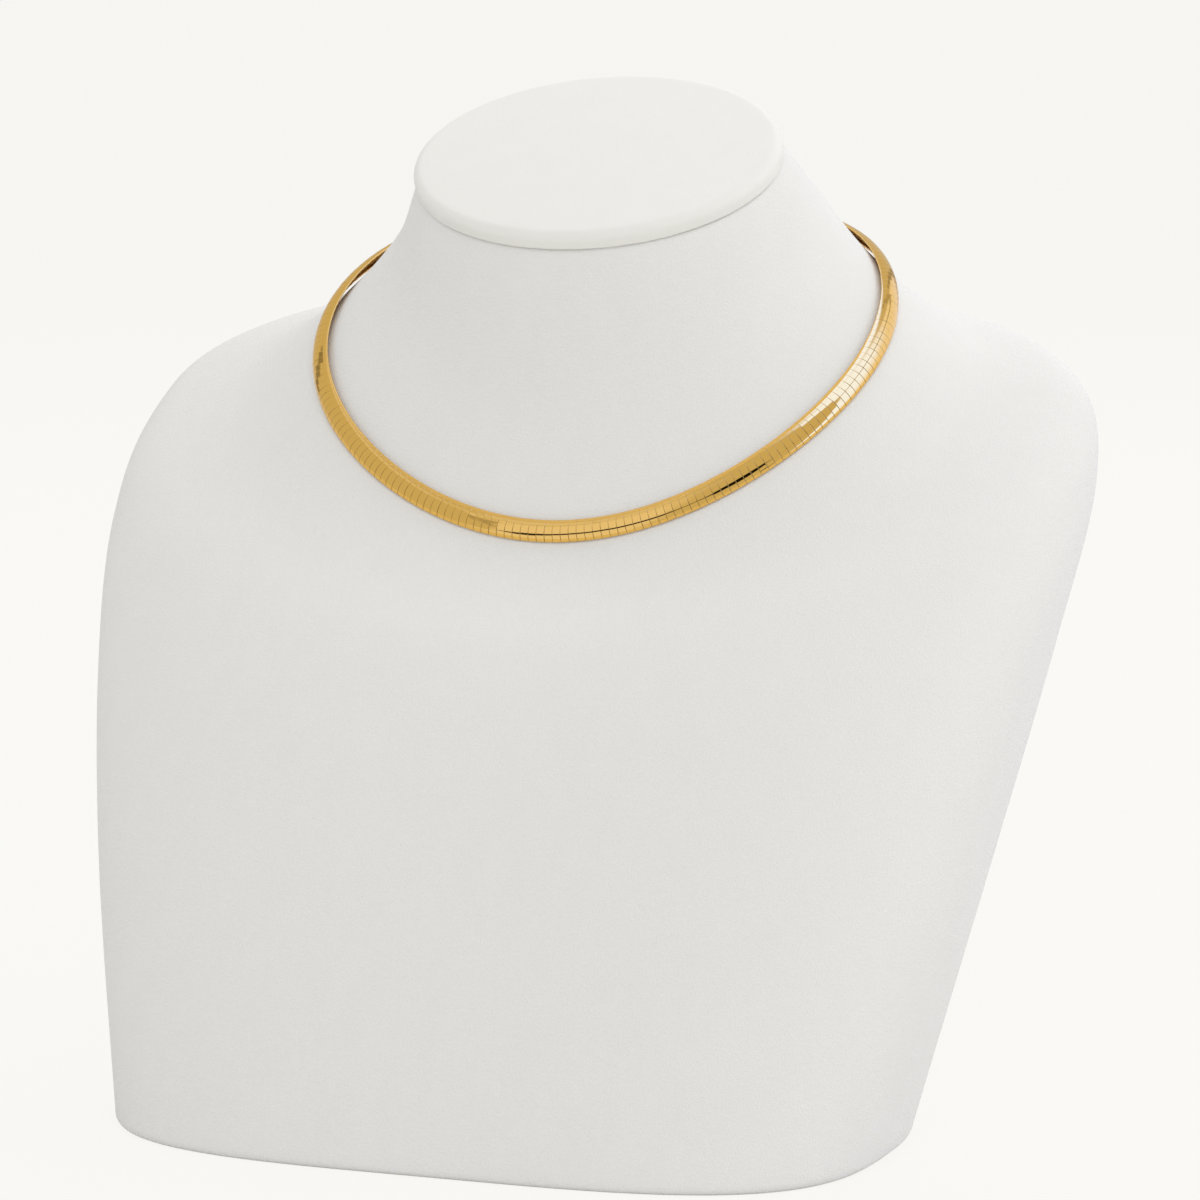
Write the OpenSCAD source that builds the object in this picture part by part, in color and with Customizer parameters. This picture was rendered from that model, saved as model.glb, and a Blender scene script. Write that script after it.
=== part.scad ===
// Omega necklace on a neck bust, in millimetres.
// The bust faces -Y and stands on its flat base at z = 0, with +Z up and +X at the wearer's left.
// The origin is the middle of the base's lowest section.

/* [Bust] */
// Greatest width of the bust, just below its shoulders
body_w = 234; // [210:1:260]
// Height of the middle of the neck's top above the base
body_h = 213; // [199:1:229]
// Depth that the torso's sections are shares of
body_d = 120; // [108:1:132]

/* [Neck cap] */
// Width of the padded oval on top of the neck
cap_w = 88; // [80:1:96]
// Depth of the padded oval, front to back
cap_d = 68.5; // [62:0.5:76]
// Height of the padded oval's edge, rounding included
cap_t = 4.2; // [3:0.1:7]
// Radius of the rounding along the oval's upper edge
cap_edge_r = 1.8; // [0.8:0.1:2.2]
// Radius of the smaller rounding along the oval's lower edge
cap_foot_r = 0.6; // [0.2:0.1:0.7]
// How much the oval's middle stands above its edge
cap_crown = 0.8; // [0.2:0.1:3]
// How far the oval reaches past the neck all round
cap_lip = 0.6; // [0.2:0.1:2]
// Gap of the sewn joint under the oval
cap_seam = 0.2; // [0.1:0.05:0.6]

/* [Collar] */
// Width of the necklace's loop, inside the band
collar_w = 136; // [128:1:144]
// Depth of the necklace's loop along its own slope, inside the band
collar_d = 115; // [108:1:122]
// Clearance between the band and the bust
seat_gap = 0.4; // [0.3:0.05:0.8]
// Degrees that the stiff band turns at the sides of the neck, where only its lower edge touches
side_turn = 9; // [0:1:14]

/* [Band] */
// Width of the domed band
band_w = 5.6; // [5.2:0.1:7]
// Height of the dome above the band's flat underside
band_h = 1.7; // [1.6:0.1:2.2]
// Metal thickness of one link's plate
plate_t = 0.35; // [0.25:0.05:0.45]
// Distance from one link to the next
link_pitch = 1.91; // [1.7:0.01:2.4]
// Gap between two links
link_gap = 0.22; // [0.2:0.01:0.28]
// Width of the slot between the two lips that each plate folds under the band
lip_slot = 3; // [2:0.5:3.5]
// Clearance between the woven mesh and the plates round it
mesh_gap = 0.12; // [0.1:0.01:0.2]

/* [Clasp] */
// Length of the clasp's box
clasp_l = 9; // [7:0.5:12]
// Gap between the clasp's ends and the two end caps
clasp_gap = 0.5; // [0.4:0.05:0.8]
// How much higher the clasp's dome is than the band's
clasp_rise = 0.2; // [0:0.05:0.4]
// Width of the slot through the clasp
clasp_slot_w = 2.8; // [2.5:0.1:3]
// Height of the slot through the clasp
clasp_slot_h = 1; // [0.9:0.05:1.1]
// How deep the tongue is rooted in its end cap
tongue_root = 0.5; // [0.3:0.1:1]
// Length of the cap on each end of the band
end_l = 4.5; // [4:0.5:7]
// How deep the woven mesh's end sits in that cap
end_pocket = 2; // [1:0.25:2.5]
// Width of the tongue that slides into the clasp
tongue_w = 1.9; // [1.4:0.1:2]
// Thickness of the tongue
tongue_t = 0.45; // [0.3:0.05:0.5]
// How far the tongue reaches into the clasp
tongue_l = 2.5; // [1.5:0.25:2.75]

/* [Hidden] */

leatherette = [0.88, 0.87, 0.86];
cap_white = [0.93, 0.92, 0.91];
gold = [0.85, 0.66, 0.30];
woven_gold = [0.62, 0.46, 0.18];

// Sections of the bust from its base to the top of its neck, each an oval in a plane that tilts forward.
// up is a share of body_h and back is a share of half of body_d: they place the section's middle.
// tilt is the angle in degrees by which the section's front dips below its back.
// wide, front and rear are shares of half the width and half the depth of what the section follows.
// square is 2 for an ellipse and more for a squarer front, and lift, a share of the section's own
// half width, raises its sides and lowers its front and back, as a draped collar lies.
BODY = 0;
COLLAR = 1;
NECK = 2;
//           follows  up    back   tilt  wide   front  rear  square lift
sections = [[BODY,   0,     0,     0,    0.765, 1.02,  1.10, 3.4,   0],
            [BODY,   0.271, 0.32,  7.5,  0.88,  1.07,  0.99, 3.2,   0.015],
            [BODY,   0.492, 0.665, 14.5, 0.96,  1.19,  0.90, 3.0,   0.024],
            [BODY,   0.650, 0.95,  21,   1.0,   1.31,  0.86, 2.7,   0.032],
            [BODY,   0.728, 1.06,  25.5, 0.952, 1.32,  0.91, 2.5,   0.051],
            [BODY,   0.749, 0.99,  29,   0.745, 1.135, 0.98, 2.3,   0.076],
            [COLLAR, 0.806, 0.931, 36.5, 1.0,   1.0,   0.99, 2.0,   0.0915],
            [NECK,   0.902, 0.945, 37,   1.21,  1.37,  1.37, 2.0,   0.067],
            [NECK,   1.0,   0.835, 30,   1.0,   1.0,   1.0,  2.0,   0]];
collar_row = 6;
top_row = len(sections) - 1;

// Half width and half depth of the torso, of the collar's seat and of the neck's top
half_w = [body_w / 2, collar_w / 2 - seat_gap, cap_w / 2 - cap_lip];
half_d = [body_d / 2, collar_d / 2 - seat_gap, cap_d / 2 - cap_lip];

// The same sections in millimetres: middle's height, middle's setback, tilt, half width,
// front depth, rear depth, squareness and lift
rows = [for (s = sections)
    let (w = s[4] * half_w[s[0]])
    [s[1] * body_h, s[2] * body_d / 2, s[3], w, s[5] * half_d[s[0]], s[6] * half_d[s[0]], s[7], s[8] * w]];

// A smooth curve through all rows: t counts the rows from the base, and may fall between two
function row_at(t) =
    let (i = min(floor(t), top_row - 1),
         u = t - i,
         p1 = rows[i],
         p2 = rows[i + 1],
         p0 = i > 0 ? rows[i - 1] : 2 * p1 - p2,
         p3 = i < top_row - 1 ? rows[i + 2] : 2 * p2 - p1)
    (2 * p1 + (p2 - p0) * u + (2 * p0 - 5 * p1 + 4 * p2 - p3) * u * u
        + (3 * p1 - p0 - 3 * p2 + p3) * u * u * u) / 2;

// A point of one section. The angle a is 0 at the front and 90 at the wearer's left.
function section_point(r, a) =
    let (square = cos(a) > 0 ? r[6] : 2,
         depth = cos(a) > 0 ? r[4] : r[5],
         reach = pow(pow(abs(sin(a)) / r[3], square) + pow(abs(cos(a)) / depth, square), -1 / square),
         v = -reach * cos(a),
         rise = -r[7] * cos(2 * a))
    [reach * sin(a), r[1] + v * cos(r[2]) - rise * sin(r[2]), r[0] + v * sin(r[2]) + rise * cos(r[2])];

function unit(v) = v / norm(v);

// Faces of a closed skin over rings of points, each ring with the same number of sides
function skin_faces(rings, sides) = concat(
    [[for (i = [0 : sides - 1]) i]],
    [for (j = [0 : rings - 2], i = [0 : sides - 1])
        let (n = (i + 1) % sides)
        [j * sides + i, (j + 1) * sides + i, (j + 1) * sides + n]],
    [for (j = [0 : rings - 2], i = [0 : sides - 1])
        let (n = (i + 1) % sides)
        [j * sides + i, (j + 1) * sides + n, j * sides + n]],
    [[for (i = [sides - 1 : -1 : 0]) (rings - 1) * sides + i]]);

// Bust: steps between two sections, and sides of each ring
bust_steps = 6;
bust_sides = 72;
bust_rings = top_row * bust_steps + 1;

module bust_form() {
    points = [for (j = [0 : bust_rings - 1])
        let (r = row_at(j / bust_steps))
        for (i = [0 : bust_sides - 1]) section_point(r, i * 360 / bust_sides)];
    color(leatherette) polyhedron(points, skin_faces(bust_rings, bust_sides), convexity = 6);
}

// Cap: each ring's inset from the edge, its height, and the scale that the crown shrinks it by
cap_sides = 72;
round_steps = 4;
crown_scales = [0.85, 0.6, 0.3, 0.05];
cap_profile = concat(
    [[cap_foot_r, 0, 1], [0, cap_foot_r, 1]],
    [for (k = [0 : round_steps])
        let (b = k * 90 / round_steps)
        [cap_edge_r * (1 - cos(b)), cap_t - cap_edge_r * (1 - sin(b)), 1]],
    [for (s = crown_scales) [cap_edge_r, cap_t + cap_crown * (1 - s * s), s]]);

module neck_cap() {
    top = rows[top_row];
    points = [for (p = cap_profile, i = [0 : cap_sides - 1])
        let (a = i * 360 / cap_sides)
        [(cap_w / 2 - p[0]) * p[2] * sin(a), -(cap_d / 2 - p[0]) * p[2] * cos(a), p[1]]];
    color(cap_white)
        translate([0, top[1], top[0]])
            rotate([top[2], 0, 0])
                translate([0, 0, cap_seam])
                    polyhedron(points, skin_faces(len(cap_profile), cap_sides), convexity = 4);
}

// The collar's seat: a point on the bust, and the directions along the loop, off the bust and up the band
angle_step = 1;
row_step = 0.02;
function seat_point(a) = section_point(rows[collar_row], a);
function seat_along(a) = unit(seat_point(a + angle_step) - seat_point(a - angle_step));
function seat_off(a) = unit(cross(
    seat_along(a),
    section_point(row_at(collar_row + row_step), a) - section_point(row_at(collar_row - row_step), a)));

// The band's own directions: it lies flat at the front and back, and turns about its lower edge at the sides
function band_turn(a) = side_turn * pow(sin(a), 2);
function band_off(a) =
    let (off = seat_off(a))
    off * cos(band_turn(a)) - cross(off, seat_along(a)) * sin(band_turn(a));
function band_foot(a) = seat_point(a) + seat_off(a) * (seat_gap + band_w / 2 * sin(band_turn(a)));

// The loop runs through the middle of the band's height, once round from the back
path_steps = 240;
path_angles = [for (i = [0 : path_steps]) i * 360 / path_steps - 180];
path = [for (a = path_angles) band_foot(a) + band_off(a) * band_h / 2];
path_len = [for (i = 0, s = 0; i <= path_steps; s = s + norm(path[min(i + 1, path_steps)] - path[i]), i = i + 1) s];
loop_len = path_len[path_steps];
angle_table = [for (i = [0 : path_steps]) [path_len[i], path_angles[i]]];

// Matrix that sets a piece, drawn with x up the band and y off the bust, at the length s along the loop
function band_frame(s) =
    let (a = lookup(s < 0 ? s + loop_len : s, angle_table),
         along = seat_along(a),
         off = band_off(a),
         up = cross(off, along),
         p = band_foot(a))
    [[up.x, off.x, along.x, p.x], [up.y, off.y, along.y, p.y], [up.z, off.z, along.z, p.z], [0, 0, 0, 1]];

// The links fill what the clasp and the two end caps leave of the loop, at the nearest whole number
end_start = clasp_l / 2 + clasp_gap;
links_start = end_start + end_l + link_gap;
links_len = loop_len - 2 * links_start;
link_count = round(links_len / link_pitch);
pitch = links_len / link_count;
echo(loop_len = loop_len, link_count = link_count, pitch = pitch);

// Fineness of the dome's arcs
dome_fn = 96;

// Radius of the arc that is w wide and h high
function dome_r(w, h) = (w * w / 4 + h * h) / (2 * h);
band_r = dome_r(band_w, band_h);

module dome_profile(w, h) {
    r = dome_r(w, h);
    intersection() {
        translate([0, h - r])
            circle(r = r, $fn = dome_fn);
        translate([-w / 2, 0])
            square([w, h]);
    }
}

// The hollow inside a plate, down to its folded lips
module hollow_profile() {
    intersection() {
        translate([0, band_h - band_r])
            circle(r = band_r - plate_t, $fn = dome_fn);
        translate([-band_w / 2, plate_t])
            square([band_w, band_h]);
    }
}

module link_plate() {
    linear_extrude(height = pitch - link_gap, center = true)
        difference() {
            dome_profile(band_w, band_h);
            hollow_profile();
            translate([-lip_slot / 2, -plate_t])
                square([lip_slot, 2.5 * plate_t]);
        }
}

module links() {
    color(gold)
        for (i = [0 : link_count - 1])
            multmatrix(band_frame(links_start + (i + 0.5) * pitch))
                link_plate();
}

// Woven mesh: an arched band that fills the plates, less a clearance, with a ring of points at each link
mesh_arc_steps = 6;
mesh_r = band_r - plate_t - mesh_gap;
mesh_floor = plate_t + mesh_gap;
mesh_half_angle = acos((mesh_floor - band_h + band_r) / mesh_r);
mesh_profile = [for (k = [0 : mesh_arc_steps])
    let (b = mesh_half_angle * (1 - 2 * k / mesh_arc_steps))
    [mesh_r * sin(b), band_h - band_r + mesh_r * cos(b)]];

module mesh_core() {
    start = links_start - end_pocket + mesh_gap;
    run = loop_len - 2 * start;
    points = [for (j = [0 : link_count])
        let (m = band_frame(start + run * j / link_count))
        for (p = mesh_profile)
            let (q = m * [p.x, p.y, 0, 1])
            [q.x, q.y, q.z]];
    color(woven_gold) polyhedron(points, skin_faces(link_count + 1, len(mesh_profile)), convexity = 8);
}

// End cap, drawn with its tongue towards -z: the mesh's end sits in the pocket at its other end
module end_cap() {
    difference() {
        translate([0, 0, -end_l / 2])
            linear_extrude(height = end_l)
                dome_profile(band_w, band_h);
        translate([0, 0, end_l / 2 - end_pocket])
            linear_extrude(height = end_pocket + link_gap)
                hollow_profile();
    }
    translate([-tongue_w / 2, (band_h - tongue_t) / 2, -end_l / 2 - clasp_gap - tongue_l])
        cube([tongue_w, tongue_t, tongue_l + clasp_gap + tongue_root]);
}

end_middle = end_start + end_l / 2;

module end_cap_right() {
    color(gold)
        multmatrix(band_frame(end_middle))
            end_cap();
}

module end_cap_left() {
    color(gold)
        multmatrix(band_frame(-end_middle))
            mirror([0, 0, 1])
                end_cap();
}

module clasp() {
    color(gold)
        multmatrix(band_frame(0))
            linear_extrude(height = clasp_l, center = true)
                difference() {
                    dome_profile(band_w, band_h + clasp_rise);
                    translate([-clasp_slot_w / 2, (band_h - clasp_slot_h) / 2])
                        square([clasp_slot_w, clasp_slot_h]);
                }
}

bust_form();
neck_cap();
mesh_core();
links();
end_cap_left();
end_cap_right();
clasp();
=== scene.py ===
# %% [markdown]
# An omega necklace is a band of woven metal mesh with some two hundred short domed plates crimped
# round it, side by side, so that it lies round the neck as one smooth arched ribbon.
# Here it is shown as a shop shows it, on a neck bust covered with white leatherette.
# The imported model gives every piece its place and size. This script dresses it and moves nothing.

import math

import bpy
import numpy as np
from mathutils import Matrix, Vector


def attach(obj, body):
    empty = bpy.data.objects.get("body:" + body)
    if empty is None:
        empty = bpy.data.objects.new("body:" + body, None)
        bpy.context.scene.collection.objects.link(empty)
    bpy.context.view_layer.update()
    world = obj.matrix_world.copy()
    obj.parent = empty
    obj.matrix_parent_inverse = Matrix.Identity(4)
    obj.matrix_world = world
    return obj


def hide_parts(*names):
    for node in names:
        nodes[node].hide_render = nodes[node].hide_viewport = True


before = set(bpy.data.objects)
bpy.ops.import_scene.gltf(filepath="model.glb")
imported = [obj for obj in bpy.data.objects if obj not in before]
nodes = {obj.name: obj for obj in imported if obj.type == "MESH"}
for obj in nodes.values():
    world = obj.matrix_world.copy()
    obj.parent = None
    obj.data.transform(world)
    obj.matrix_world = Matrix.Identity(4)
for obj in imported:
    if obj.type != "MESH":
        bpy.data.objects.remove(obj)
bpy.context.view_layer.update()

# %% [markdown]
# Blender counts in metres, and a jeweller in millimetres. The driving sizes below are the real ones,
# in millimetres, and each mesh is turned to metres once, when it is made.

# %% Sizes in millimetres
MM = 0.001
# The bust's torso, then its cap: width, depth, thickness, crown, lip over the neck and seam under it
body_w, body_h, body_d = 234.0, 213.0, 120.0
cap_w, cap_d, cap_t, cap_crown, cap_lip, cap_seam = 88.0, 68.5, 4.2, 0.8, 0.6, 0.2
# The oval that the necklace lies on, its clearance there, and its turn at the sides in degrees
collar_w, collar_d, seat_gap, side_turn = 136.0, 115.0, 0.4, 9.0
# The band, its plates, and the slot between a plate's two lips
band_w, band_h, plate_t = 5.6, 1.7, 0.35
link_pitch, link_gap, lip_slot = 1.91, 0.22, 3.0
# The clasp, its clearance at each end, and one end cap
clasp_l, clasp_gap, end_l = 9.0, 0.5, 4.5
print("a band", band_w, "mm wide on a bust", body_w, "mm wide")

# %% [markdown]
# The bust, its cap and each plate are tubes: stacks of rings with a flat face at each end. One
# function makes a tube's faces, all turned outward, and another turns points and faces into an
# object. It also names the body to ride on.

# %% Helpers for meshes
soft_edge_deg = 40


def tube_faces(rings, sides):
    """Quads between rings whose points run anticlockwise seen from the last one, and two ends."""
    ring, side = np.meshgrid(np.arange(rings - 1), np.arange(sides), indexing="ij")
    after = (side + 1) % sides
    this, above = ring * sides, (ring + 1) * sides
    quads = np.stack([this + side, this + after, above + after, above + side], -1)
    first_end = list(range(sides))[::-1]
    last_end = list(range((rings - 1) * sides, rings * sides))
    return quads.reshape(-1, 4).tolist() + [first_end, last_end]


def add_piece(name, points_mm, faces, crease_deg=soft_edge_deg, flat_ends=False):
    """A smooth-shaded mesh from points in millimetres. Edges sharper than crease_deg stay crisp, and
    with flat_ends a tube's two ends do as well."""
    mesh = bpy.data.meshes.new(name)
    mesh.from_pydata((np.asarray(points_mm) * MM).tolist(), [], faces)
    mesh.validate()
    mesh.shade_smooth()
    mesh.set_sharp_from_angle(angle=math.radians(crease_deg))
    if flat_ends:
        for face in mesh.polygons:
            face.use_smooth = len(face.vertices) == 4
    piece = bpy.data.objects.new(name, mesh)
    bpy.context.scene.collection.objects.link(piece)
    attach(piece, "root")
    print(name, "has", len(mesh.polygons), "faces")
    return piece

# %% [markdown]
# The bust is a loft: nine oval sections from its base to the top of its neck, each in a plane that
# tips forward. A sculpted mesh would do as well, but a loft keeps the form exactly where the packed
# solid has it, because it repeats the same short table. Lengths are shares of the sizes above.

# %% The bust's sections
BODY, COLLAR, NECK = 0, 1, 2
half_w = np.array([body_w / 2, collar_w / 2 - seat_gap, cap_w / 2 - cap_lip])
half_d = np.array([body_d / 2, collar_d / 2 - seat_gap, cap_d / 2 - cap_lip])
#            follows  up    back   tilt  wide   front  rear  square lift
sections = [(BODY,   0.0,   0.0,   0.0,  0.765, 1.02,  1.10, 3.4, 0.0),
            (BODY,   0.271, 0.32,  7.5,  0.88,  1.07,  0.99, 3.2, 0.015),
            (BODY,   0.492, 0.665, 14.5, 0.96,  1.19,  0.90, 3.0, 0.024),
            (BODY,   0.650, 0.95,  21.0, 1.0,   1.31,  0.86, 2.7, 0.032),
            (BODY,   0.728, 1.06,  25.5, 0.952, 1.32,  0.91, 2.5, 0.051),
            (BODY,   0.749, 0.99,  29.0, 0.745, 1.135, 0.98, 2.3, 0.076),
            (COLLAR, 0.806, 0.931, 36.5, 1.0,   1.0,   0.99, 2.0, 0.0915),
            (NECK,   0.902, 0.945, 37.0, 1.21,  1.37,  1.37, 2.0, 0.067),
            (NECK,   1.0,   0.835, 30.0, 1.0,   1.0,   1.0,  2.0, 0.0)]
collar_row, top_row = 6, len(sections) - 1
rows = np.array([[up * body_h, back * body_d / 2, tilt, wide * half_w[k], front * half_d[k],
                  rear * half_d[k], square, lift * wide * half_w[k]]
                 for k, up, back, tilt, wide, front, rear, square, lift in sections])
print("section heights in mm:", rows[:, 0].round(1))

# %% [markdown]
# Between the sections a Catmull-Rom curve gives a smooth skin. Each section's front half is a
# superellipse, which fills out the chest, and its sides rise a little as a draped collar does.

# %% Points of the loft
def row_at(t):
    """The sections' values at t, which counts the rows from the base and may fall between two."""
    i = np.clip(np.floor(t).astype(int), 0, top_row - 1)
    u = (t - i)[:, None]
    p1, p2 = rows[i], rows[i + 1]
    p0 = np.where((i == 0)[:, None], 2 * p1 - p2, rows[np.maximum(i - 1, 0)])
    p3 = np.where((i == top_row - 1)[:, None], 2 * p2 - p1, rows[np.minimum(i + 2, top_row)])
    return (2 * p1 + (p2 - p0) * u + (2 * p0 - 5 * p1 + 4 * p2 - p3) * u ** 2
            + (3 * p1 - p0 - 3 * p2 + p3) * u ** 3) / 2


def section_points(t, degrees, inset=0.0):
    """Points at t and at angles from the front, 90 at the wearer's left, drawn in by inset."""
    z, y, tilt, wide, front, rear, square, lift = [c[:, None] for c in row_at(np.atleast_1d(t)).T]
    a, tilt = np.radians(degrees)[None, :], np.radians(tilt)
    ahead = np.cos(a) > 0
    power, depth = np.where(ahead, square, 2.0), np.where(ahead, front, rear)
    reach = (abs(np.sin(a) / wide) ** power + abs(np.cos(a) / depth) ** power) ** (-1 / power)
    reach = reach - np.atleast_1d(inset)[:, None]
    v, rise = -reach * np.cos(a), -lift * np.cos(2 * a)
    return np.stack([reach * np.sin(a), y + v * np.cos(tilt) - rise * np.sin(tilt),
                     z + v * np.sin(tilt) + rise * np.cos(tilt)], -1)


collar_oval = section_points(float(collar_row), np.arange(361.0))[0]
collar_round = np.linalg.norm(np.diff(collar_oval, axis=0), axis=1).sum()
print("the bust measures", round(collar_round, 1), "mm round at the necklace")

# %% [markdown]
# The camera comes before the pieces.
# The studio shot is taken from a little above and to the wearer's left, from 1.2 m away with a long
# lens, which is why the bust shows hardly any perspective.

# %% Camera at the photograph's viewing angle
view_azimuth, view_elevation = math.radians(20.2), math.radians(7.9)
view_distance, view_target = 1200.0, Vector((18.7, 0.0, 119.8))
sensor_mm, frame_px, px_per_mm, far_m = 36.0, 1200.0, 4.48, 100.0
to_camera = Vector((math.sin(view_azimuth) * math.cos(view_elevation),
                    -math.cos(view_azimuth) * math.cos(view_elevation), math.sin(view_elevation)))
camera_data = bpy.data.cameras.new("studio_camera")
camera_data.sensor_width = sensor_mm
camera_data.lens = px_per_mm * view_distance / frame_px * sensor_mm
camera_data.clip_end = far_m
camera = bpy.data.objects.new("studio_camera", camera_data)
bpy.context.scene.collection.objects.link(camera)
camera.location = (view_target + to_camera * view_distance) * MM
camera.rotation_euler = (-to_camera).to_track_quat("-Z", "Y").to_euler()
bpy.context.scene.camera = camera
print("lens", round(camera_data.lens, 1), "mm at", view_distance, "mm")

# %% [markdown]
# The bust's covering is leatherette drawn tight over a hollow shell and glued under the base.
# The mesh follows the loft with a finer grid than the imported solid, rolls in round the base's edge,
# steps up to a plain board underneath, and rolls in again where the cap covers the neck's end.

# %% The bust's skin
base_edge_r, neck_edge_r = 2.5, 0.45
board_inset, board_step = 9.0, 0.6
skin_sides, steps_per_row, roll_steps, height_steps = 288, 26, 6, 400
# The flat face at each end spans this share of the ring before it
middle_share = 0.5
around = np.arange(skin_sides) * 360.0 / skin_sides
fine_t = np.linspace(0, 1, height_steps + 1)
heights = row_at(fine_t)[:, 0]
roll = np.radians(np.linspace(0, 90, roll_steps + 1))
base_t = np.interp(base_edge_r * (1 - np.cos(roll)), heights, fine_t)
base_inset = base_edge_r * (1 - np.sin(roll))
neck_rise = rows[top_row, 0] - rows[top_row - 1, 0]
neck_t = top_row - neck_edge_r / neck_rise * (1 - np.sin(roll))
neck_inset = neck_edge_r * (1 - np.cos(roll))
wall_t = np.linspace(base_t[-1], neck_t[0], top_row * steps_per_row)[1:-1]
skin_t = np.concatenate([base_t, wall_t, neck_t])
skin_inset = np.concatenate([base_inset, wall_t * 0, neck_inset])
skin = section_points(skin_t, around, skin_inset)
board_edge = section_points(0.0, around, base_edge_r + board_inset)[0]
board_lip = board_edge + [0, 0, board_step]
board_middle = board_lip * [middle_share, middle_share, 1]
neck_middle = skin[-1].mean(0)
neck_end = neck_middle + (skin[-1] - neck_middle) * middle_share
skin_rings = np.concatenate([[board_middle, board_lip, board_edge], skin, [neck_end]])
skin_faces = tube_faces(len(skin_rings), skin_sides)
bust = add_piece("bust_skin", skin_rings.reshape(-1, 3), skin_faces)
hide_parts("bust_form")

# %% [markdown]
# A padded oval closes the neck. It is a board with thin foam under the same leatherette, so its edge
# is a soft roll. The covering is pulled under by hand, so the joint below it wavers by a hair. A few
# sines with seeded phases draw that, which a simulation would only do more slowly.

# %% The padded cap
cap_roll_r, cap_foot_r, cap_sides, quarter_steps, side_steps = 2.3, 0.5, 360, 8, 3
waver_mm, waver_out, wave_counts, wave_falloff = 0.13, 0.6, (5, 9, 14, 23, 37, 61), 0.35
under_insets, crown_shares = (8.0, 2.0), (0.97, 0.93, 0.86, 0.76, 0.62, 0.46, 0.28, 0.1)
cap_around = np.radians(np.arange(cap_sides) * 360.0 / cap_sides)
rng = np.random.default_rng(12)
waves = [(k, rng.uniform(0, 2 * math.pi), rng.uniform(0.4, 1.0) / k ** wave_falloff) for k in wave_counts]
waver = sum(size * np.sin(k * cap_around + phase) for k, phase, size in waves)
waver *= waver_mm / abs(waver).max()
# A ring is an inset from the rim, a height over the seam, and a share of the oval's size
quarter = np.radians(np.linspace(0, 90, quarter_steps + 1))
side_top = cap_t - cap_roll_r
under = [(inset, 0.0, 1.0) for inset in under_insets]
foot = [(cap_foot_r * (1 - math.sin(b)), cap_foot_r * (1 - math.cos(b)), 1.0) for b in quarter]
side = [(0.0, z, 1.0) for z in np.linspace(cap_foot_r, side_top, side_steps + 1)[1:-1]]
rolled = [(cap_roll_r * (1 - math.cos(b)), cap_t - cap_roll_r * (1 - math.sin(b)), 1.0) for b in quarter]
crown = [(cap_roll_r, cap_t + cap_crown * (1 - s * s), s) for s in crown_shares]
cap_rings = []
for inset, z, share in under + foot + side + rolled + crown:
    here = waver * max(0.0, 1 - z / side_top)
    x = (cap_w / 2 - inset + here * waver_out) * share * np.sin(cap_around)
    y = -(cap_d / 2 - inset + here * waver_out) * share * np.cos(cap_around)
    cap_rings.append(np.stack([x, y, z + here], -1))
top_z, top_y, top_tilt = rows[top_row, :3]
cap_turn = np.array(Matrix.Rotation(math.radians(top_tilt), 3, "X"))
cap_points = (np.concatenate(cap_rings) + [0, 0, cap_seam]) @ cap_turn.T + [0, top_y, top_z]
cap = add_piece("cap_pad", cap_points, tube_faces(len(cap_rings), cap_sides))
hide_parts("neck_cap")

# %% [markdown]
# The necklace lies round the base of the neck. Its line is the loft's seventh section, held a little
# off the bust, and at each length along it a small frame says which way is up the band, off the bust
# and along. The band is stiff, so at the sides it rests on its lower edge and turns to face outward.
# The plates are drawn flat and set into these frames.

# %% The necklace's line
step_deg, step_rows, line_steps = 1.0, 0.02, 240


def unit(v):
    """The vectors in v, each with a length of 1."""
    return v / np.linalg.norm(v, axis=-1, keepdims=True)


def seat(degrees):
    """Points under the band's middle, and the directions along the band and off it."""
    ahead, behind = [section_points(float(collar_row), degrees + d)[0] for d in (step_deg, -step_deg)]
    above, below = [section_points(collar_row + d, degrees)[0] for d in (step_rows, -step_rows)]
    along = unit(ahead - behind)
    off = unit(np.cross(along, above - below))
    turn = np.radians(side_turn * np.sin(np.radians(degrees)) ** 2)[:, None]
    foot = section_points(float(collar_row), degrees)[0] + off * (seat_gap + band_w / 2 * np.sin(turn))
    return foot, along, off * np.cos(turn) - np.cross(off, along) * np.sin(turn)


line_degrees = np.linspace(-180, 180, line_steps + 1)
seat_points, _, seat_off = seat(line_degrees)
line = seat_points + seat_off * band_h / 2
line_length = np.concatenate([[0], np.cumsum(np.linalg.norm(np.diff(line, axis=0), axis=1))])
loop_len = line_length[-1]
links_start = clasp_l / 2 + clasp_gap + end_l + link_gap
links_len = loop_len - 2 * links_start
link_count = round(links_len / link_pitch)
pitch = links_len / link_count


def band_frames(lengths):
    """Matrices with columns up the band, off the bust and along it, and the places they stand at."""
    degrees = np.interp(np.mod(lengths, loop_len), line_length, line_degrees)
    points, along, off = seat(degrees)
    turn = np.stack([np.cross(off, along), off, along], -1)
    return turn, points


print(link_count, "plates,", round(pitch, 3), "mm apart, in a loop of", round(loop_len, 1), "mm")

# %% [markdown]
# One plate is a strip of gold bent to a dome and folded under at both edges, like a C seen from its
# end. Its outline is an arc, a small round where it folds, a lip, and the inner arc back.
# Arcs are better than a bevel here, since the polished dome mirrors every flat in its outline.

# %% The outline of a plate
dome_r = (band_w ** 2 / 4 + band_h ** 2) / (2 * band_h)
fold_r, outer_steps, inner_steps, fold_steps = 0.22, 22, 8, 4


def arc(cx, cy, radius, start, stop, steps):
    """Points on an arc, with angles in degrees from straight off the bust."""
    b = np.radians(np.linspace(start, stop, steps + 1))
    return np.stack([cx + radius * np.sin(b), cy + radius * np.cos(b)], -1)


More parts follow.
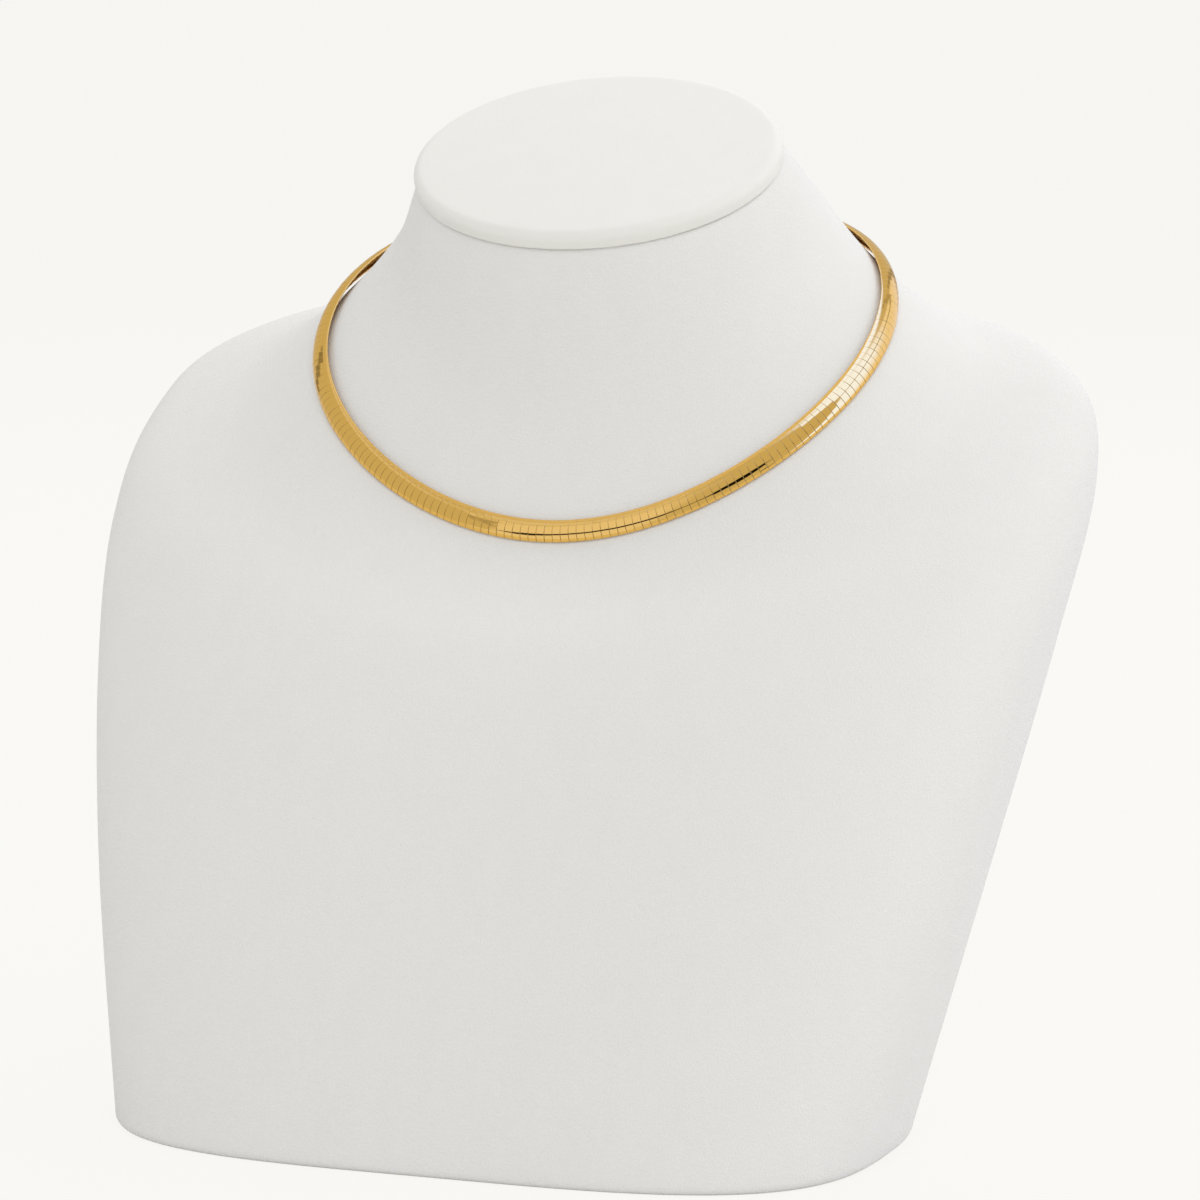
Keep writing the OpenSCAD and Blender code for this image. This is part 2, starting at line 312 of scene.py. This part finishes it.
# The small round touches the dome from inside and the underside, so its middle lies fold_r above it
fold_y = fold_r
fold_x = math.sqrt((dome_r - fold_r) ** 2 - (fold_y - (band_h - dome_r)) ** 2)
dome_half = math.degrees(math.atan2(fold_x, fold_y - (band_h - dome_r)))
inner_r = dome_r - plate_t
inner_half = math.degrees(math.acos((plate_t - (band_h - dome_r)) / inner_r))
# The points are listed clockwise, over the dome from left to right, and turned round at the end
plate_outline = np.concatenate([
    arc(0, band_h - dome_r, dome_r, -dome_half, dome_half, outer_steps),
    arc(fold_x, fold_y, fold_r, dome_half, 180, fold_steps)[1:],
    [[lip_slot / 2, 0], [lip_slot / 2, plate_t]],
    arc(0, band_h - dome_r, inner_r, inner_half, -inner_half, inner_steps),
    [[-lip_slot / 2, plate_t], [-lip_slot / 2, 0]],
    arc(-fold_x, fold_y, fold_r, 180, 360 - dome_half, fold_steps)[:-1]])[::-1]
print("a plate's outline has", len(plate_outline), "points and its dome a radius of", round(dome_r, 2), "mm")

# %% [markdown]
# Each plate is its outline drawn out for almost a whole pitch and eased at both ends, where tumbling
# has worn the cut edges. One more ring inside each eased end keeps the dome's shading straight, and
# the cut ends are shaded flat, so that each joint between two plates shows as a fine dark line.
# No two plates sit quite alike: small seeded leans, rolls and lifts break up what they mirror.
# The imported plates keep 0.22 mm clear of each other. The real ones all but touch, as drawn here.

# %% All the plates
ease, drawn_gap = 0.03, 0.04
half_l = (pitch - drawn_gap) / 2
# How far each ring stands back from the plate's end, and is drawn in, as shares of ease
back_shares, in_shares = np.array([0.0, 0.3, 1.0, 2.0]), np.array([1.0, 0.3, 0.0, 0.0])
end_at, end_in = half_l - back_shares * ease, in_shares * ease
ring_at, ring_in = np.concatenate([-end_at, end_at[::-1]]), np.concatenate([end_in, end_in[::-1]])
edge = np.roll(plate_outline, -1, 0) - np.roll(plate_outline, 1, 0)
outward = unit(np.stack([edge[:, 1], -edge[:, 0]], -1))
plate = np.concatenate([np.column_stack([plate_outline - outward * i, np.full(len(outward), z)])
                        for z, i in zip(ring_at, ring_in)])
lean_deg, roll_deg, lift_mm, plate_edge_deg = 0.3, 0.3, 0.012, 50
rng = np.random.default_rng(5)
lean = np.radians(rng.normal(0, lean_deg, link_count))
roll_by = np.radians(rng.normal(0, roll_deg, link_count))
lift_by = rng.normal(0, lift_mm, link_count)
turns, places = band_frames(links_start + (np.arange(link_count) + 0.5) * pitch)
plate_middle = np.array([0, band_h / 2, 0])
one_plate = tube_faces(len(ring_at), len(plate_outline))
plate_points, plate_faces = [], []
for i in range(link_count):
    own = np.array(Matrix.Rotation(lean[i], 3, "X") @ Matrix.Rotation(roll_by[i], 3, "Z"))
    seated = (plate - plate_middle) @ own.T + plate_middle + [0, lift_by[i], 0]
    plate_points.append(seated @ turns[i].T + places[i])
    plate_faces += [[v + i * len(plate) for v in face] for face in one_plate]
plates = add_piece("omega_plates", np.concatenate(plate_points), plate_faces,
                   crease_deg=plate_edge_deg, flat_ends=True)
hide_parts("links")

# %% [markdown]
# The clasp and the two end caps are cast and polished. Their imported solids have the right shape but
# knife edges, so each is copied, its cut facets are melted together and its edges are rounded.

# %% Clasp and end caps
same_point_m, flat_deg, corner_deg = 1e-6, 0.5, 35


def eased_copy(node, name, radius_mm=0.12, segments=3):
    """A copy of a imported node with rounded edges, which stands for it."""
    mesh = nodes[node].data.copy()
    piece = bpy.data.objects.new(name, mesh)
    bpy.context.scene.collection.objects.link(piece)
    weld = piece.modifiers.new("weld", "WELD")
    weld.merge_threshold = same_point_m
    melt = piece.modifiers.new("melt", "DECIMATE")
    melt.decimate_type = "DISSOLVE"
    melt.angle_limit = math.radians(flat_deg)
    bevel = piece.modifiers.new("ease", "BEVEL")
    bevel.width = radius_mm * MM
    bevel.segments = segments
    bevel.limit_method = "ANGLE"
    bevel.angle_limit = math.radians(corner_deg)
    depsgraph = bpy.context.evaluated_depsgraph_get()
    made = bpy.data.meshes.new_from_object(piece.evaluated_get(depsgraph))
    piece.modifiers.clear()
    piece.data = made
    made.name = name
    made.shade_smooth()
    made.set_sharp_from_angle(angle=math.radians(soft_edge_deg))
    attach(piece, "root")
    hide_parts(node)
    print(name, "has", len(made.polygons), "faces")
    return piece


fittings = [eased_copy("clasp", "clasp_box"),
            eased_copy("end_cap_left", "end_ferrule_left"),
            eased_copy("end_cap_right", "end_ferrule_right")]

# %% [markdown]
# Colours are picked as sRGB hex values, as a maker's swatch gives them, and one function turns them to
# the linear values that Blender's sockets hold. One small function adds a node with its settings.

# %% Helpers for materials
def linear(hex_colour):
    """Linear RGBA from an sRGB hex value such as #C8A050."""
    parts = [int(hex_colour[i:i + 2], 16) / 255 for i in (1, 3, 5)]
    return tuple(c / 12.92 if c <= 0.04045 else ((c + 0.055) / 1.055) ** 2.4 for c in parts) + (1.0,)


def add_node(tree, kind, settings=None, **links):
    """Adds a node. settings sets its attributes or its sockets, by name or number. links joins them:
    a socket is given by its name, or by its number as in0, in1 and so on."""
    node = tree.nodes.new(kind)
    for name, value in (settings or {}).items():
        if hasattr(node, name):
            setattr(node, name, value)
        else:
            node.inputs[int(name) if name.isdigit() else name].default_value = value
    for name, source in links.items():
        numbered = name.startswith("in") and name[2:].isdigit()
        tree.links.new(source, node.inputs[int(name[2:]) if numbered else name.replace("_", " ")])
    return node


def new_material(name):
    """A material with a Principled shader, and its tree, shader and object coordinates in metres."""
    material = bpy.data.materials.new(name)
    material.use_nodes = True
    tree = material.node_tree
    shader = tree.nodes["Principled BSDF"]
    where = add_node(tree, "ShaderNodeTexCoord").outputs["Object"]
    return material, tree, shader, where

# %% [markdown]
# Leatherette is PVC or polyurethane on cloth, embossed with a fine pebble grain and left matt. Its
# grain is about 0.45 mm across, and the sheet is drawn over the form, which leaves faint soft
# unevenness a few millimetres wide. Bump is enough for both: neither changes the outline. The grain
# breaks up nearly all of the gloss, so the specular level is low and the roughness high.

# %% Leatherette, embossed and matt
grain_mm, mottle_mm, drawn_share = 0.45, 7.0, 0.35
matt_roughness, matt_specular, plastic_ior = 0.7, 0.04, 1.5


def leatherette(name, colour, tint, grain_depth):
    """Embossed leatherette of two close whites, with a grain of this depth in millimetres."""
    material, tree, shader, where = new_material(name)
    cells = add_node(tree, "ShaderNodeTexVoronoi", {"Scale": 1 / (grain_mm * MM)}, Vector=where)
    drawn = add_node(tree, "ShaderNodeMapping", {"Scale": (1.0, 1.0, drawn_share)}, Vector=where)
    mottle = add_node(tree, "ShaderNodeTexNoise",
                      {"Scale": 1 / (mottle_mm * MM), "Detail": 2.0}, Vector=drawn.outputs[0])
    both = add_node(tree, "ShaderNodeMath", {"operation": "ADD"}, in0=cells.outputs["Distance"],
                    in1=mottle.outputs["Fac"])
    relief = add_node(tree, "ShaderNodeBump", {"Strength": 1.0, "Distance": grain_depth * MM},
                      Height=both.outputs[0])
    paint = add_node(tree, "ShaderNodeMix", {"data_type": "RGBA", "6": linear(colour), "7": linear(tint)},
                     in0=mottle.outputs["Fac"])
    tree.links.new(paint.outputs[2], shader.inputs["Base Color"])
    tree.links.new(relief.outputs[0], shader.inputs["Normal"])
    shader.inputs["Roughness"].default_value = matt_roughness
    shader.inputs["Specular IOR Level"].default_value = matt_specular
    shader.inputs["IOR"].default_value = plastic_ior
    return material


bust_leatherette = leatherette("leatherette_embossed_matt", "#ECEBE8", "#E9E8E5", 0.07)
# The cap's two whites are a shade lighter than the bust's. That is painted light, standing in for the extra
# light that falls on the cap's top.
cap_leatherette_painted_light = leatherette("leatherette_cap_embossed_matt", "#EFEEE9", "#ECEBE6", 0.02)
print("the leatherette's grain is", grain_mm, "mm across")

# %% [markdown]
# Yellow gold of 14 karat is a metal: its base colour is its mirror colour, and its IOR stays at the
# default. The plates are stamped, tumbled and polished, so the surface mirrors almost sharply. The
# polishing wheel leaves a faint unevenness a quarter of a millimetre across, which softens that a
# little from place to place. The cast pieces are polished less finely.

# %% Yellow gold, stamped and polished
wheel_mark_mm, smoothest, roughest = 0.25, 0.8, 1.25


def polished_gold(name, colour, roughness, mark_depth):
    """Polished gold of this roughness on average, with marks of this depth in millimetres."""
    material, tree, shader, where = new_material(name)
    marks = add_node(tree, "ShaderNodeTexNoise",
                     {"Scale": 1 / (wheel_mark_mm * MM), "Detail": 3.0}, Vector=where)
    bump = add_node(tree, "ShaderNodeBump", {"Strength": 1.0, "Distance": mark_depth * MM},
                    Height=marks.outputs["Fac"])
    wear = add_node(tree, "ShaderNodeMapRange", {"3": roughness * smoothest, "4": roughness * roughest},
                    Value=marks.outputs["Fac"])
    tree.links.new(bump.outputs[0], shader.inputs["Normal"])
    tree.links.new(wear.outputs[0], shader.inputs["Roughness"])
    shader.inputs["Base Color"].default_value = linear(colour)
    shader.inputs["Metallic"].default_value = 1.0
    return material


gold_colour = "#F9C868"
plate_gold = polished_gold("yellow_gold_stamped_polished", gold_colour, 0.07, 0.0006)
fitting_gold = polished_gold("yellow_gold_cast_polished", gold_colour, 0.1, 0.001)
print("polished gold mirrors, in linear RGB,", [round(c, 2) for c in linear(gold_colour)[:3]])

# %% [markdown]
# Under the plates runs a mesh woven of gold wire about 0.3 mm thick. It shows only as a dark line
# between two plates, so two crossed waves of bump and a deeper colour are all it needs. The deeper
# colour is painted shade: the wire is the plates' own gold, and its darker base colour stands in for
# the shade that falls in the gaps between plates.

# %% Yellow gold, woven wire, with painted shade
# At a scale of 1, Blender's wave runs through 20 radians in each unit of length
wire_mm, wire_relief_mm, wave_radians, woven_roughness = 0.3, 0.05, 20.0, 0.4
wave_scale = math.tau / (wave_radians * wire_mm * MM)
woven_gold_painted_shade, tree, shader, where = new_material("yellow_gold_woven_wire")
warp = add_node(tree, "ShaderNodeTexWave", {"bands_direction": "X", "Scale": wave_scale}, Vector=where)
weft = add_node(tree, "ShaderNodeTexWave", {"bands_direction": "Z", "Scale": wave_scale}, Vector=where)
woven = add_node(tree, "ShaderNodeMath", {"operation": "MAXIMUM"}, in0=warp.outputs["Fac"],
                 in1=weft.outputs["Fac"])
woven_bump = add_node(tree, "ShaderNodeBump", {"Strength": 1.0, "Distance": wire_relief_mm * MM},
                      Height=woven.outputs[0])
tree.links.new(woven_bump.outputs[0], shader.inputs["Normal"])
# The darker base colour is painted shade for the gaps between plates, not a different gold.
shader.inputs["Base Color"].default_value = linear("#B98C42")
shader.inputs["Metallic"].default_value = 1.0
shader.inputs["Roughness"].default_value = woven_roughness
print("a wire of", wire_mm, "mm needs a wave scale of", round(wave_scale, 1))

# %% [markdown]
# A finish goes on an object's material slots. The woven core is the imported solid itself, whose mesh
# isn't touched, so only what its slots hold changes. The copied clasp and end caps bring slots along,
# and the pieces that were made here from points have none yet.

# %% Give each piece its finish
def dress(piece, material):
    """Puts one material on every slot of a piece, and makes a slot where there is none."""
    if not piece.material_slots:
        piece.data.materials.append(material)
    for slot in piece.material_slots:
        slot.material = material


dress(bust, bust_leatherette)
dress(cap, cap_leatherette_painted_light)
dress(plates, plate_gold)
dress(nodes["mesh_core"], woven_gold_painted_shade)
for piece in fittings:
    dress(piece, fitting_gold)
print("finishes:", sorted(m.name for m in bpy.data.materials if m.users))

# %% [markdown]
# Jewellery is shot inside a light tent: white cloth walls glow evenly, each at its own level, and the
# polished metal mirrors them with the dark seams between. This tent is a small one, 38 cm across, so
# the band mirrors different parts of it from place to place. A wall is a patch with straight edges,
# given by its corners as seen from the tent's middle, and is laid over the ones before it. Lamps
# stand behind the lit walls. Their light is cooler, so that gold mirrors it as cream.

# %% The light tent's walls
tent_r, tent_middle, cloth_level = 190.0, (0.0, 0.0, 120.0), 0.62
walls = [
    # name, level, share of cool daylight, softness of its edges in degrees, and its corners as
    # azimuth and elevation in degrees: 0 is the front, plus is the wearer's left and up
    ("right wall", 0.9, 0.7, 1, [(20, 75), (40, 20), (70, -50), (120, -35), (159, 20), (150, 34),
                                 (150, 75)]),
    ("right wall, lit", 1, 5, 12, [(-28, 68), (74, -17), (118, -18), (131, 18), (129, 42), (146, 72),
                                   (-118, 75)]),
    ("right roof, lit", 1, 5, 4, [(-165, 60), (-142, 71), (-125, 78), (80, 77), (125, 64), (155, 60),
                                  (180, 52)]),
    ("front wall", 0.62, 0, 0.6, [(0, 60), (30, 68), (63, 61), (84, 37), (88, 24), (90, 8), (89, -5),
                                  (80, -18), (60, -50), (0, -50)]),
    ("front wall, top", 0.62, 0, 0.6, [(-105, 77), (20, 85), (63, 61), (30, 50), (-60, 60)]),
    ("front wall, lit", 0.84, 0.5, 9, [(-60, 0), (-80, 50), (-100, 76), (-14, 70), (5, 37), (16, 14),
                                       (24, -25), (14, -50), (-60, -50)]),
    ("left wall", 0.62, 0, 0.6, [(-40, -20), (-32, 5), (-31, 23), (-33, 41), (-38, 52), (-52, 65),
                                 (-110, 60), (-98, -22)]),
    ("roof, lit", 0.76, 0.5, 0.8, [(-56, 65), (-68, 71), (-97, 73), (-134, 68), (-136, 58)]),
    ("back roof, lit", 1, 0.9, 2, [(-147, 66), (-136, 54), (-158, 25), (-174, 22), (-175, 48)]),
]
seams = [
    # name, level, softness, width in degrees, and the points it runs through
    ("right wall's seam", 0.45, 0.4, 2.2, [(83, 38), (136, 41)]),
    ("back corner's seam", 0.45, 0.5, 2.2, [(136, 41), (141, 53), (150, 60)]),
    ("back corner's edge", 0.35, 0.8, 2.0, [(144, 48), (148, 36), (158, 22)]),
    ("left corner's seam", 0.28, 1.0, 4.0, [(-110, 53), (-104, 35), (-110, 18), (-124, 6)]),
    ("left wall's edge", 0.25, 0.4, 0.8, [(-38, 53), (-34, 38), (-32, 14)]),
    ("front slit", 0.02, 0.8, 10.0, [(-29, -10), (-22, -2), (-14, 1), (-2, 0), (14, 0)]),
    ("front slit, right", 0.25, 1.5, 6.0, [(14, 0), (30, 3)]),
    ("front slit, end", 0.5, 0.8, 2.0, [(50, 7), (80, 20)]),
]
openings = [
    # name, level, softness and corners
    ("lens opening", 0.01, 1.5, [(26, 2), (29, 11), (36, 17), (46, 18), (53, 13), (54, 2), (48, -5),
                                 (35, -6)]),
    ("tripod", 0.1, 0.6, [(66, -15), (68, -11), (73, -13), (76, -16), (75, -17)]),
]


def towards(azimuth, elevation):
    """The direction with this azimuth and elevation in degrees."""
    az, el = math.radians(azimuth), math.radians(elevation)
    return Vector((math.sin(az) * math.cos(el), -math.cos(az) * math.cos(el), math.sin(el)))


def strip(start, stop, width):
    """The four corners, as directions, of a seam width degrees wide that runs on a little at its ends."""
    side = start.cross(stop).normalized() * math.tan(math.radians(width / 2))
    on = (stop - start).normalized() * math.tan(math.radians(width / 4))
    return [start - on + side, stop + on + side, stop + on - side, start - on - side]


patches = [(level, cool, soft, [towards(*c) for c in corners]) for name, level, cool, soft, corners in walls]
for name, level, soft, width, points in seams:
    ways = [towards(*p) for p in points]
    patches += [(level, 0, soft, strip(a, b, width)) for a, b in zip(ways, ways[1:])]
patches += [(level, 0, soft, [towards(*c) for c in corners]) for name, level, soft, corners in openings]
print("the tent has", len(walls), "walls,", len(seams), "seams and", len(openings), "openings")

# %% [markdown]
# A patch's edge is a straight line of the tent, so it lies in a plane through the tent's middle: the
# dot product with that plane's normal tells inside from outside.

# %% The light tent
cloth_fineness, daylight_green, daylight_blue = 5, 0.1, 0.8


def radiance(level, daylight):
    """A cloth's light as RGBA. Daylight adds green and most of all blue."""
    return (level, level * (1 + daylight_green * daylight), level * (1 + daylight_blue * daylight), 1.0)


bpy.ops.mesh.primitive_ico_sphere_add(subdivisions=cloth_fineness, radius=tent_r * MM,
                                      location=Vector(tent_middle) * MM)
tent = bpy.context.object
tent.name = "light_tent"
cloth, tree, shader, where = new_material("tent_cloth_white")
tree.nodes.remove(shader)
way = add_node(tree, "ShaderNodeVectorMath", {"operation": "NORMALIZE"}, in0=where).outputs[0]
light = add_node(tree, "ShaderNodeMix", {"data_type": "RGBA", "Factor": 0.0,
                                         "6": radiance(cloth_level, 0)}).outputs[2]
for level, cool, softness, ways in patches:
    middle = sum(ways, Vector())
    soft = math.radians(softness)
    inside = None
    for this, other in zip(ways, ways[1:] + ways[:1]):
        normal = this.cross(other).normalized()
        normal = normal if normal.dot(middle) > 0 else -normal
        dot = add_node(tree, "ShaderNodeVectorMath", {"operation": "DOT_PRODUCT", "1": normal}, in0=way)
        edge = add_node(tree, "ShaderNodeMapRange",
                        {"interpolation_type": "SMOOTHSTEP", "1": -soft, "2": soft},
                        Value=dot.outputs["Value"]).outputs[0]
        if inside is not None:
            edge = add_node(tree, "ShaderNodeMath", {"operation": "MULTIPLY"}, in0=inside,
                            in1=edge).outputs[0]
        inside = edge
    light = add_node(tree, "ShaderNodeMix", {"data_type": "RGBA", "7": radiance(level, cool)}, in0=inside,
                     in6=light).outputs[2]
glow = add_node(tree, "ShaderNodeEmission", Color=light)
tree.links.new(glow.outputs[0], tree.nodes["Material Output"].inputs["Surface"])
# The tent is mirrored and lights nothing, so no sample is spent on it as a lamp
cloth.cycles.emission_sampling = "NONE"
tent.data.materials.append(cloth)
print("the tent's cloth takes", len(tree.nodes), "nodes for", len(patches), "patches")

# %% [markdown]
# Only mirror rays see the tent. The camera looks through it to a plain pale backdrop, and the bust is
# lit by plain soft light, which can then be set for the leatherette alone.

# %% The world behind the tent
for kind in ("camera", "diffuse", "transmission", "volume_scatter", "shadow"):
    setattr(tent, "visible_" + kind, False)
backdrop, fill_level = linear("#FAF9F5"), 0.63
world = bpy.data.worlds.new("studio")
bpy.context.scene.world = world
world.cycles.sampling_method = "NONE"
world.use_nodes = True
tree = world.node_tree
tree.nodes.clear()
rays = add_node(tree, "ShaderNodeLightPath")
fill = add_node(tree, "ShaderNodeBackground", {"Color": (1, 1, 1, 1), "Strength": fill_level})
plain = add_node(tree, "ShaderNodeBackground", {"Color": backdrop, "Strength": 1.0})
seen = add_node(tree, "ShaderNodeMixShader", in0=rays.outputs["Is Camera Ray"], in1=fill.outputs[0],
                in2=plain.outputs[0])
add_node(tree, "ShaderNodeOutputWorld", Surface=seen.outputs[0])
print("the backdrop is", [round(c, 2) for c in backdrop[:3]])

# %% [markdown]
# Four broad lamps shape the leatherette: one on each side and one behind, which rims the shoulders,
# and one at the front. They are big and near, so their shadows are soft.

# %% Soft lamps
lamp_distance_m, lamp_size_m, aim = 1.7, 1.2, Vector((0.0, 0.03, 0.14))
lamps = [
    # name, azimuth and elevation in degrees, power in W
    ("lamp_right", 112.0, 41.0, 6.8),
    ("lamp_front", 25.0, 40.0, 6.5),
    ("lamp_left", -110.0, 40.0, 3.8),
    ("lamp_behind", 180.0, 40.0, 6.7),
]
for name, azimuth, elevation, power in lamps:
    away = towards(azimuth, elevation)
    data = bpy.data.lights.new(name, "AREA")
    data.size = lamp_size_m
    data.energy = power
    lamp = bpy.data.objects.new(name, data)
    bpy.context.scene.collection.objects.link(lamp)
    lamp.location = aim + away * lamp_distance_m
    lamp.rotation_euler = (-away).to_track_quat("-Z", "Y").to_euler()
    lamp.visible_camera = False
    lamp.visible_glossy = False
print("the lamps have", round(sum(power for *_, power in lamps), 1), "W in all")

# %% [markdown]
# The floor is a white shooting table. Its acrylic sheet is lit from below until it fades into the
# backdrop, and keeps only a soft shadow round the bust. Only the camera sees that glow: the bust is
# lit by the sheet's plain white, or its underside would lose its shade.

# %% The pale floor
floor_r_m, floor_sides, glow_share = 14.0, 96, 0.92
bpy.ops.mesh.primitive_circle_add(vertices=floor_sides, radius=floor_r_m, fill_type="NGON")
floor = bpy.context.object
floor.name = "shooting_table"
floor_material, tree, shader, where = new_material("acrylic_sheet_white")
shader.inputs["Base Color"].default_value = linear("#F2F1EE")
shader.inputs["Roughness"].default_value = 0.6
glow = add_node(tree, "ShaderNodeEmission", {"Color": backdrop, "Strength": 1.0})
direct = add_node(tree, "ShaderNodeMath", {"operation": "MULTIPLY", "1": glow_share},
                  in0=add_node(tree, "ShaderNodeLightPath").outputs["Is Camera Ray"])
sheet = add_node(tree, "ShaderNodeMixShader", in0=direct.outputs[0], in1=shader.outputs[0],
                 in2=glow.outputs[0])
tree.links.new(sheet.outputs[0], tree.nodes["Material Output"].inputs["Surface"])
dress(floor, floor_material)
floor.visible_glossy = False
print("the floor reaches", floor_r_m, "m out")

# %% [markdown]
# A shop's photograph is a plain sRGB picture. The Standard view shows each colour as it was picked,
# where a film-like view would grey the whites.

# %% The view
bpy.context.scene.view_settings.view_transform = "Standard"
print("the view is", bpy.context.scene.view_settings.view_transform)
